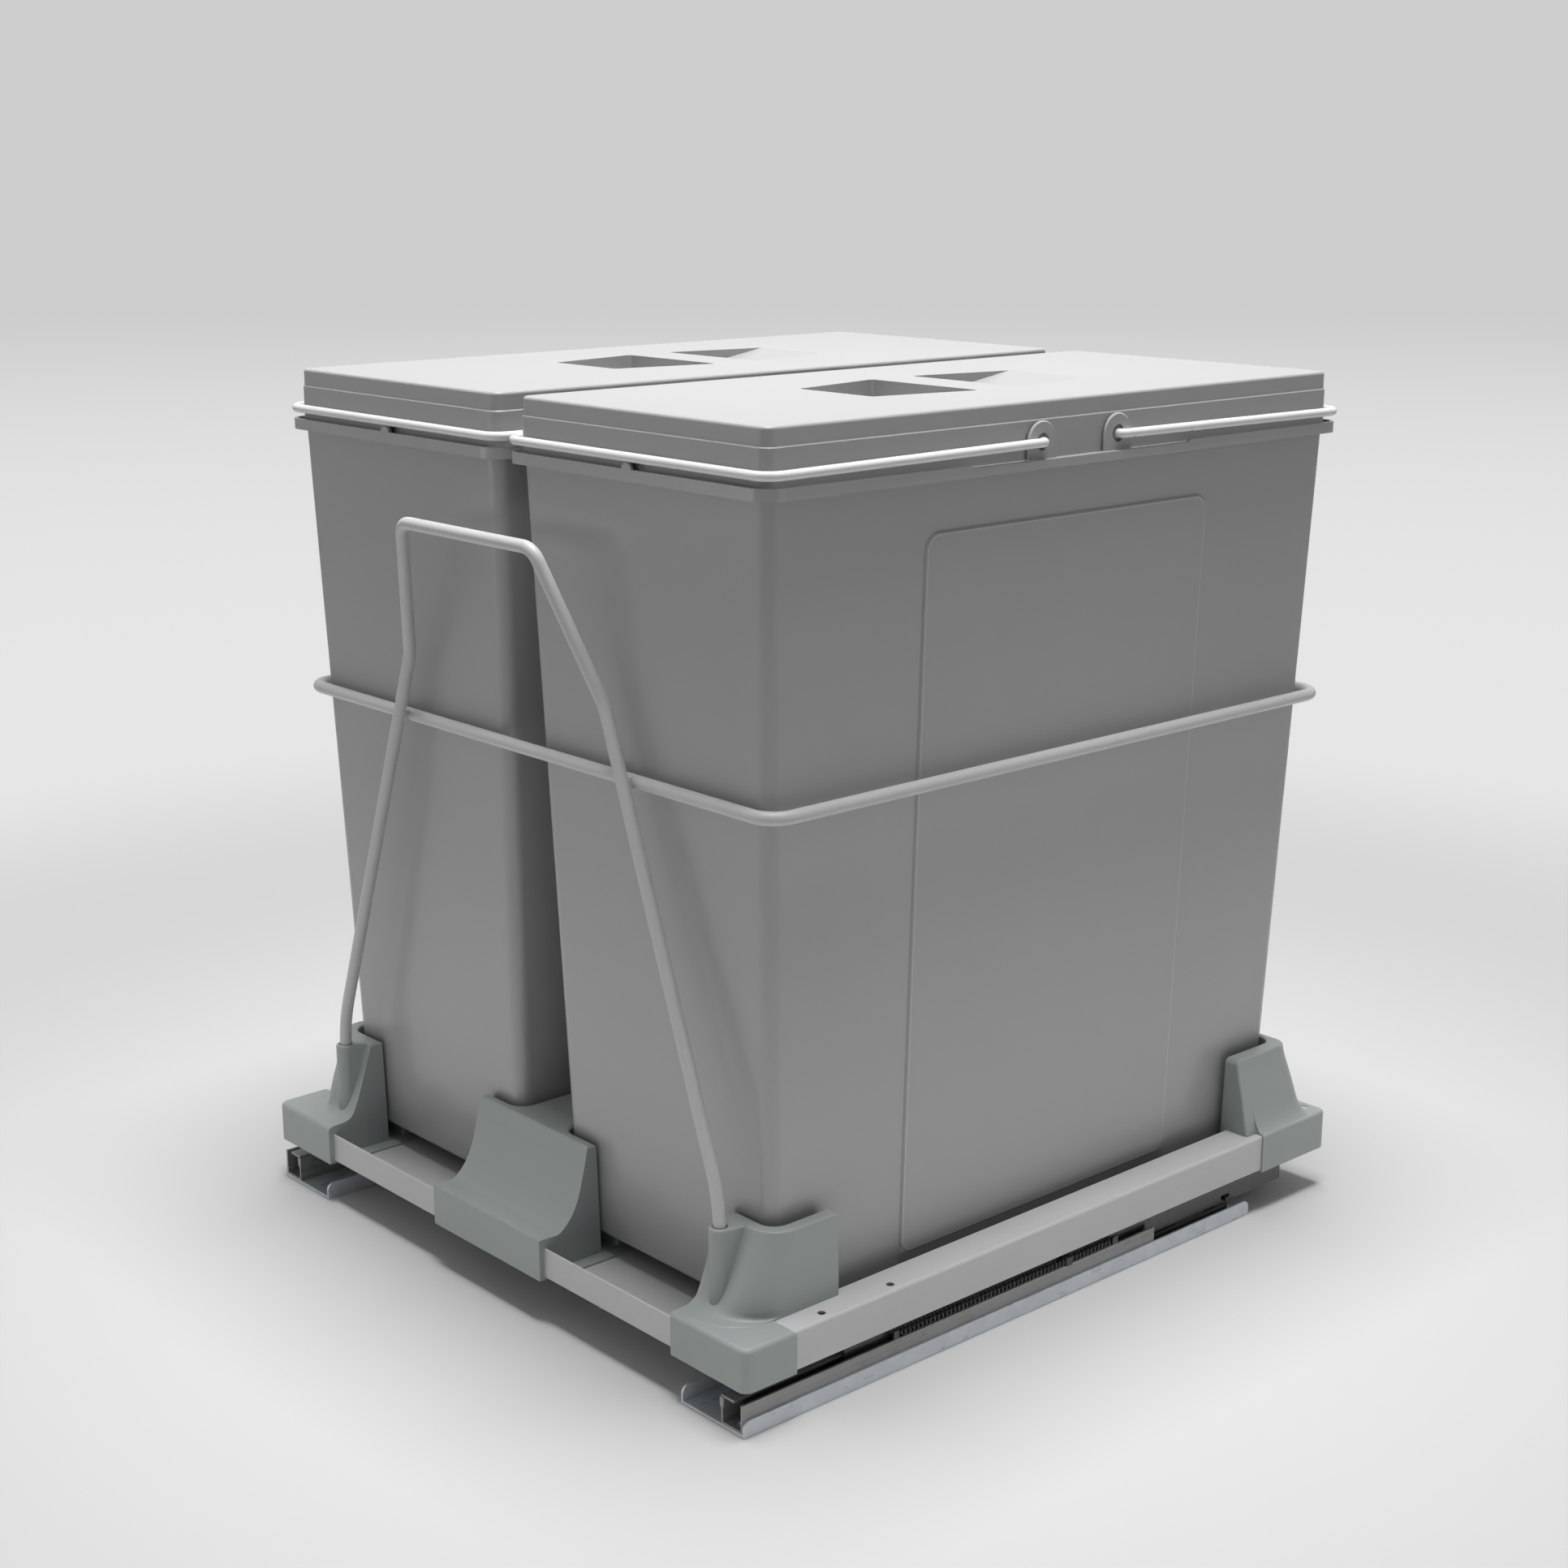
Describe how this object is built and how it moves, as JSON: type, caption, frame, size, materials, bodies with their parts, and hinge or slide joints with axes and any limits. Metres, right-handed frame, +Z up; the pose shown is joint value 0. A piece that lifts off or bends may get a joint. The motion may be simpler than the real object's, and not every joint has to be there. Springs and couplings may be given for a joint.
{
  "type": "pull-out waste bin unit",
  "caption": "Pull-out waste unit for a kitchen base cabinet: lidded bins with wire bails on a sliding steel tray with wire hoop, front handle and self-closing slides.",
  "frame": {"origin": "on the cabinet floor, under the middle of the unit's outline", "axes": "+X to the right of someone who faces the unit, +Y to the back of the cabinet, +Z up"},
  "size_m": [0.402, 0.433, 0.4535],
  "materials": {
    "bin_plastic": "fine moulded texture, mid grey",
    "lid_plastic": "fine moulded texture, mid grey",
    "bail_coating": "white plastic coating on bent wire",
    "frame_coating": "light grey powder coat on folded sheet and bent wire",
    "block_plastic": "moulded plastic, grey with a little green",
    "slide_zinc": "galvanised folded sheet",
    "rail_steel": "dark plated steel with traces of grease",
    "glide_nylon": "natural nylon",
    "spring_steel": "drawn spring wire, dull",
    "screw_zinc": "zinc plated"
  },
  "bodies": {
    "root": {"slide_base_left": "slide_zinc", "slide_base_right": "slide_zinc", "fixed_rail_left": "slide_zinc", "fixed_rail_right": "slide_zinc", "rail_clip_left": "glide_nylon", "rail_clip_right": "glide_nylon", "closing_spring_left": "spring_steel", "closing_spring_right": "spring_steel", "spring_link_left": "glide_nylon", "spring_link_right": "glide_nylon", "base_rivets": "screw_zinc"},
    "middle_left": {"middle_rail_left": "rail_steel", "middle_glides_left": "glide_nylon"},
    "middle_right": {"middle_rail_right": "rail_steel", "middle_glides_right": "glide_nylon"},
    "tray": {"moving_rail_left": "rail_steel", "moving_rail_right": "rail_steel", "moving_glides_left": "glide_nylon", "moving_glides_right": "glide_nylon", "tray_floor": "frame_coating", "side_rail_left": "frame_coating", "side_rail_right": "frame_coating", "corner_block_front_left": "block_plastic", "corner_block_front_right": "block_plastic", "corner_block_rear_left": "block_plastic", "corner_block_rear_right": "block_plastic", "centre_block_front": "block_plastic", "centre_block_rear": "block_plastic", "ring_wire": "frame_coating", "front_handle": "frame_coating", "ring_welds": "frame_coating", "tray_rivets": "screw_zinc", "block_screws": "screw_zinc"},
    "bin_left_body": {"bin_left": "bin_plastic"},
    "lid_left_body": {"lid_left": "lid_plastic"},
    "bail_left_front_body": {"bail_left_front": "bail_coating"},
    "bail_left_rear_body": {"bail_left_rear": "bail_coating"},
    "bin_right_body": {"bin_right": "bin_plastic"},
    "lid_right_body": {"lid_right": "lid_plastic"},
    "bail_right_front_body": {"bail_right_front": "bail_coating"},
    "bail_right_rear_body": {"bail_right_rear": "bail_coating"}
  },
  "joints": [
    {"name": "tray_slide", "type": "slide", "parent": "root", "child": "tray", "axis": [0, -1, 0], "range_m": [0, 0.35]},
    {"name": "middle_left_slide", "type": "slide", "parent": "root", "child": "middle_left", "axis": [0, -1, 0], "range_m": [0, 0.175]},
    {"name": "middle_right_slide", "type": "slide", "parent": "root", "child": "middle_right", "axis": [0, -1, 0], "range_m": [0, 0.175]},
    {"name": "bin_left_lift", "type": "slide", "parent": "tray", "child": "bin_left_body", "axis": [0, 0, 1], "range_m": [0, 0.45]},
    {"name": "lid_left_lift", "type": "slide", "parent": "bin_left_body", "child": "lid_left_body", "axis": [0, 0, 1], "range_m": [0, 0.25]},
    {"name": "bail_left_front_hinge", "type": "hinge", "parent": "bin_left_body", "child": "bail_left_front_body", "pos_m": [-0.0975, -0.019, 0.4345], "axis": [-1, 0, 0], "range_deg": [0, 90]},
    {"name": "bail_left_rear_hinge", "type": "hinge", "parent": "bin_left_body", "child": "bail_left_rear_body", "pos_m": [-0.0975, 0.034, 0.4345], "axis": [1, 0, 0], "range_deg": [0, 90]},
    {"name": "bin_right_lift", "type": "slide", "parent": "tray", "child": "bin_right_body", "axis": [0, 0, 1], "range_m": [0, 0.45]},
    {"name": "lid_right_lift", "type": "slide", "parent": "bin_right_body", "child": "lid_right_body", "axis": [0, 0, 1], "range_m": [0, 0.25]},
    {"name": "bail_right_front_hinge", "type": "hinge", "parent": "bin_right_body", "child": "bail_right_front_body", "pos_m": [0.0975, -0.019, 0.4345], "axis": [-1, 0, 0], "range_deg": [0, 90]},
    {"name": "bail_right_rear_hinge", "type": "hinge", "parent": "bin_right_body", "child": "bail_right_rear_body", "pos_m": [0.0975, 0.034, 0.4345], "axis": [1, 0, 0], "range_deg": [0, 90]}
  ],
  "couplings": [
    {"joint": "middle_left_slide", "follows": "tray_slide", "ratio": 0.5},
    {"joint": "middle_right_slide", "follows": "tray_slide", "ratio": 0.5}
  ]
}
